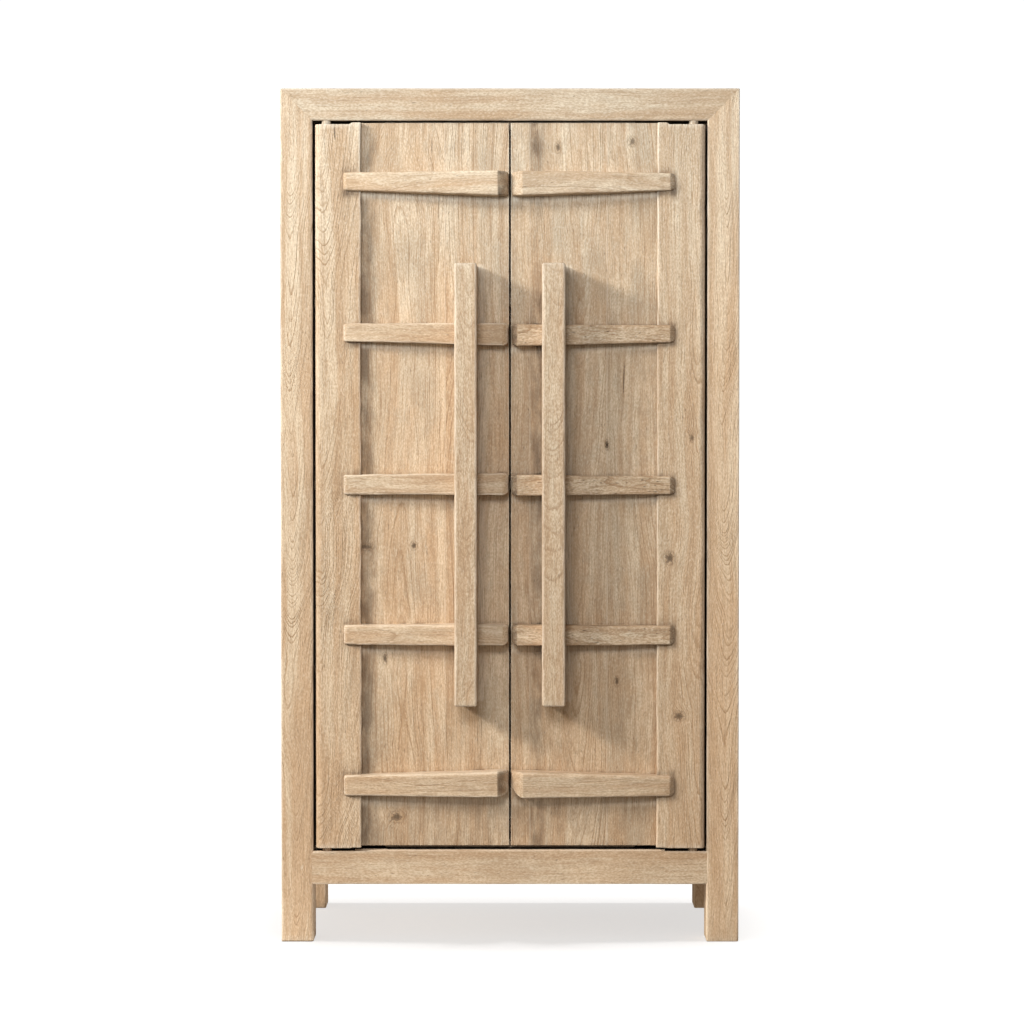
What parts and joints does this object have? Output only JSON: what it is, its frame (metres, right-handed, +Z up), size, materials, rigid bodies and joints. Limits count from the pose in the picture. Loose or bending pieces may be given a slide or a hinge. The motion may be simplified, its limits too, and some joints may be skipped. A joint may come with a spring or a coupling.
{
  "type": "chinese book cabinet",
  "caption": "Tall rustic book cabinet: framed and mitred carcass, pivot-hung plank doors with bowed battens and deep bar handles, shelves inside.",
  "frame": {"origin": "on the floor, under the middle of the whole cabinet with its handles", "axes": "+Z up, front with the doors towards -Y, +X to the right as seen from the front"},
  "size_m": [1.095, 0.595, 2.04],
  "materials": {
    "frame_wood": "reclaimed elm, planed, pale dry matt finish",
    "panels": "reclaimed elm boards, planed, pale dry matt finish",
    "inner_boards": "elm boards, planed, matt",
    "door_planks": "weathered elm planks, scraped and pale, matt",
    "door_stiles": "weathered elm, rounded by wear, matt",
    "battens": "weathered elm, rounded by wear, matt",
    "handles": "weathered elm, worn by hands, matt",
    "pivot_wood": "turned hardwood pins, bare",
    "steel_screws": "dull zinc plate"
  },
  "bodies": {
    "cabinet": {"front_left_post": "frame_wood", "front_right_post": "frame_wood", "back_left_post": "frame_wood", "back_right_post": "frame_wood", "top_front_rail": "frame_wood", "top_back_rail": "frame_wood", "top_left_rail": "frame_wood", "top_right_rail": "frame_wood", "bottom_front_rail": "frame_wood", "bottom_back_rail": "frame_wood", "bottom_left_rail": "frame_wood", "bottom_right_rail": "frame_wood", "top_panel": "panels", "floor_board": "inner_boards", "floor_bearers": "inner_boards", "left_side_panel": "panels", "right_side_panel": "panels", "back_left_panel": "panels", "back_right_panel": "panels", "back_mid_stile": "panels", "lower_shelf": "inner_boards", "lower_shelf_bearers": "inner_boards", "middle_shelf": "inner_boards", "middle_shelf_bearers": "inner_boards", "upper_shelf": "inner_boards", "upper_shelf_bearers": "inner_boards", "top_door_stop": "inner_boards", "bottom_door_stop": "inner_boards"},
    "door_left": {"left_door_stile": "door_stiles", "left_door_top_pivot": "pivot_wood", "left_door_bottom_pivot": "pivot_wood", "left_door_plank_1": "door_planks", "left_door_plank_2": "door_planks", "left_door_batten_1": "battens", "left_door_batten_2": "battens", "left_door_batten_3": "battens", "left_door_batten_4": "battens", "left_door_batten_5": "battens", "left_door_handle": "handles", "left_door_handle_screws": "steel_screws"},
    "door_right": {"right_door_stile": "door_stiles", "right_door_top_pivot": "pivot_wood", "right_door_bottom_pivot": "pivot_wood", "right_door_plank_1": "door_planks", "right_door_plank_2": "door_planks", "right_door_plank_3": "door_planks", "right_door_batten_1": "battens", "right_door_batten_2": "battens", "right_door_batten_3": "battens", "right_door_batten_4": "battens", "right_door_batten_5": "battens", "right_door_handle": "handles", "right_door_handle_screws": "steel_screws"}
  },
  "joints": [
    {"name": "left_door_hinge", "type": "hinge", "parent": "cabinet", "child": "door_left", "pos_m": [-0.4385, -0.1885, 1.09], "axis": [0, 0, -1], "range_deg": [0, 110]},
    {"name": "right_door_hinge", "type": "hinge", "parent": "cabinet", "child": "door_right", "pos_m": [0.4385, -0.1885, 1.09], "axis": [0, 0, 1], "range_deg": [0, 110]}
  ]
}
